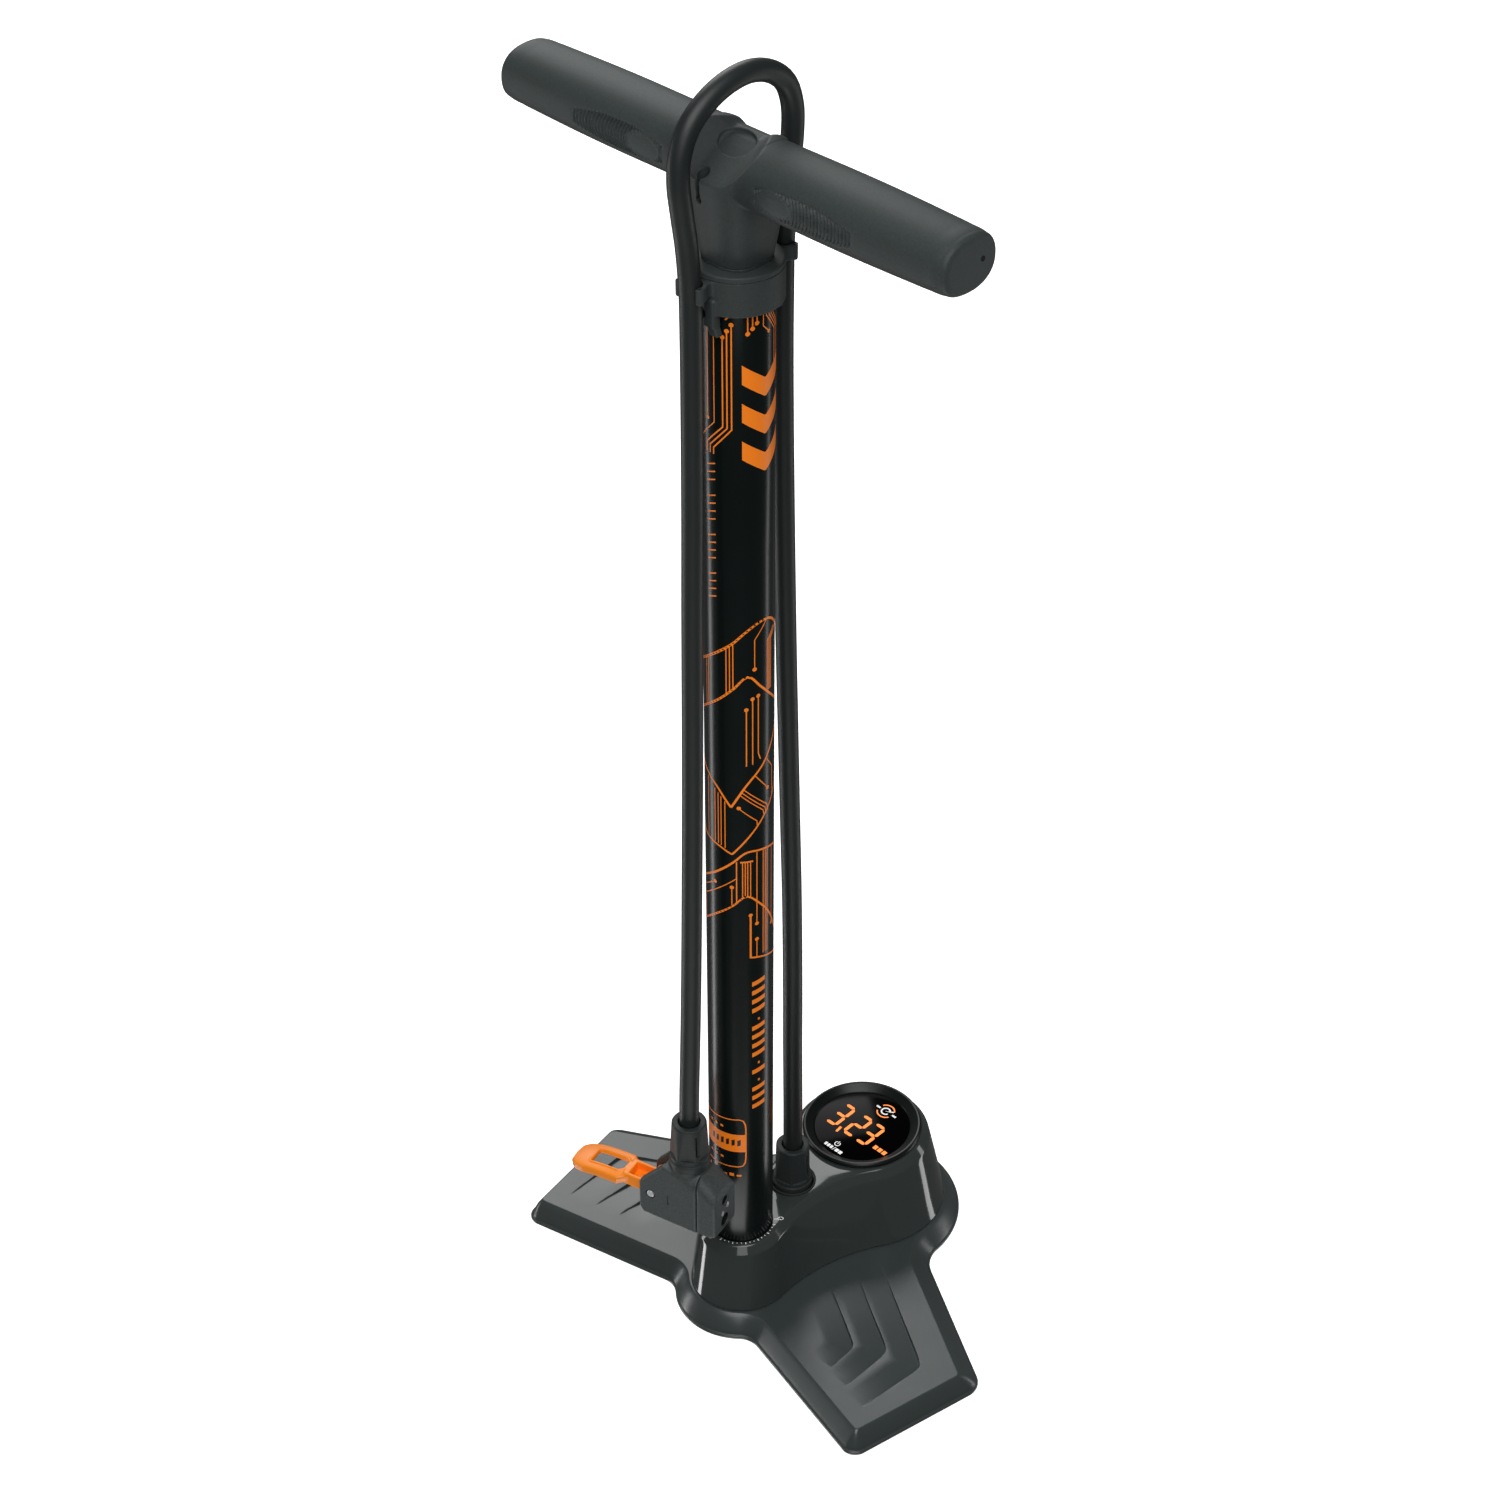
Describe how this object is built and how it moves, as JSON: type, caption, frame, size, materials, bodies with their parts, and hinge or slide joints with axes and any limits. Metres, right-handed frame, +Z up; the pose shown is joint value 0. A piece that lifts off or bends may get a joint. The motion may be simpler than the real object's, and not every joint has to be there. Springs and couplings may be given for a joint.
{
  "type": "floor bicycle pump",
  "caption": "Floor-standing bicycle pump with a T-handle, slim barrel, two-foot base, round digital gauge and a hose stowed over the handle to a lever head.",
  "frame": {"origin": "on the barrel's axis at the floor, at the centre of the round rubber pad under the barrel", "axes": "+Z up the barrel; +X along the handle, away from the pump head's lever; +Y from the barrel towards the gauge"},
  "size_m": [0.2902, 0.2206, 0.7538],
  "materials": {
    "satin_grey_plastic": "satin moulded, fine grain",
    "gloss_dark_plastic": "polished",
    "soft_grey_plastic": "soft-touch, fine texture",
    "black_rubber": "matt",
    "steel": "bright",
    "gauge_ring_plastic": "satin",
    "gauge_glass": "clear dark window, drawn opaque black",
    "display_module": "dark display",
    "circuit_board": "solder mask",
    "aluminium": "machined",
    "cell_wrap": "printed foil",
    "barrel_paint": "satin black paint on an aluminium tube",
    "natural_plastic": "moulded",
    "brass": "machined",
    "hose_rubber": "matt",
    "orange_plastic": "moulded"
  },
  "bodies": {
    "root": {"base_plate": "satin_grey_plastic", "foot_pad_centre": "black_rubber", "foot_pad_right_front": "black_rubber", "foot_pad_right_back": "black_rubber", "foot_pad_left_front": "black_rubber", "foot_pad_left_back": "black_rubber", "foot_pad_rear": "black_rubber", "base_housing": "gloss_dark_plastic", "base_screw_1": "steel", "base_screw_2": "steel", "base_screw_3": "steel", "base_screw_4": "steel", "gauge_bezel": "gauge_ring_plastic", "gauge_lens": "gauge_glass", "gauge_display": "display_module", "gauge_board": "circuit_board", "pressure_sensor": "aluminium", "battery_1": "cell_wrap", "battery_2": "cell_wrap", "battery_door": "satin_grey_plastic", "battery_door_screw": "steel", "barrel": "barrel_paint", "barrel_foot_plug": "aluminium", "foot_gasket": "black_rubber", "barrel_bolt": "steel", "air_duct": "natural_plastic", "hose_socket": "brass", "check_valve_spring": "steel", "base_hose_nut": "soft_grey_plastic", "barrel_collar": "soft_grey_plastic", "rod_bush": "natural_plastic", "hose": "hose_rubber", "head_body": "soft_grey_plastic", "head_nose": "soft_grey_plastic", "valve_seal_small": "black_rubber", "valve_seal_large": "black_rubber", "head_lever_pin": "steel", "head_hose_nut": "soft_grey_plastic", "head_hose_barb": "brass"},
    "piston_assembly": {"piston": "natural_plastic", "piston_ring": "black_rubber", "piston_cup": "black_rubber", "piston_washer": "steel", "piston_nut": "steel"},
    "handle_assembly": {"piston_rod": "aluminium", "top_out_bumper": "black_rubber", "handle_hub": "soft_grey_plastic", "handle_core": "aluminium", "grip_right": "soft_grey_plastic", "grip_left": "soft_grey_plastic", "handle_screw": "steel"},
    "lever": {"head_lever": "orange_plastic"},
    "plunger": {"head_plunger": "natural_plastic"},
    "valve_poppet": {"check_valve_poppet": "black_rubber"}
  },
  "joints": [
    {"name": "pump_stroke", "type": "slide", "parent": "root", "child": "piston_assembly", "axis": [0, 0, 1], "range_m": [0, 0.54], "deforming": ["hose"]},
    {"name": "handle_turn", "type": "hinge", "parent": "piston_assembly", "child": "handle_assembly", "pos_m": [0, 0, 0.7063], "axis": [0, 0, 1], "range_deg": [-40, 40]},
    {"name": "lever_hinge", "type": "hinge", "parent": "root", "child": "lever", "pos_m": [-0.01824, -0.04355, 0.104], "axis": [-0.2419, 0.9703, 0], "range_deg": [0, 90]},
    {"name": "plunger_slide", "type": "slide", "parent": "root", "child": "plunger", "axis": [0.9703, 0.2419, 0], "range_m": [0, 0.003]},
    {"name": "check_valve_lift", "type": "slide", "parent": "root", "child": "valve_poppet", "axis": [0, 0, 1], "range_m": [0, 0.0015], "deforming": ["check_valve_spring"]}
  ],
  "couplings": [
    {"joint": "plunger_slide", "follows": "lever_hinge", "m_per_rad": 0.0019099}
  ]
}
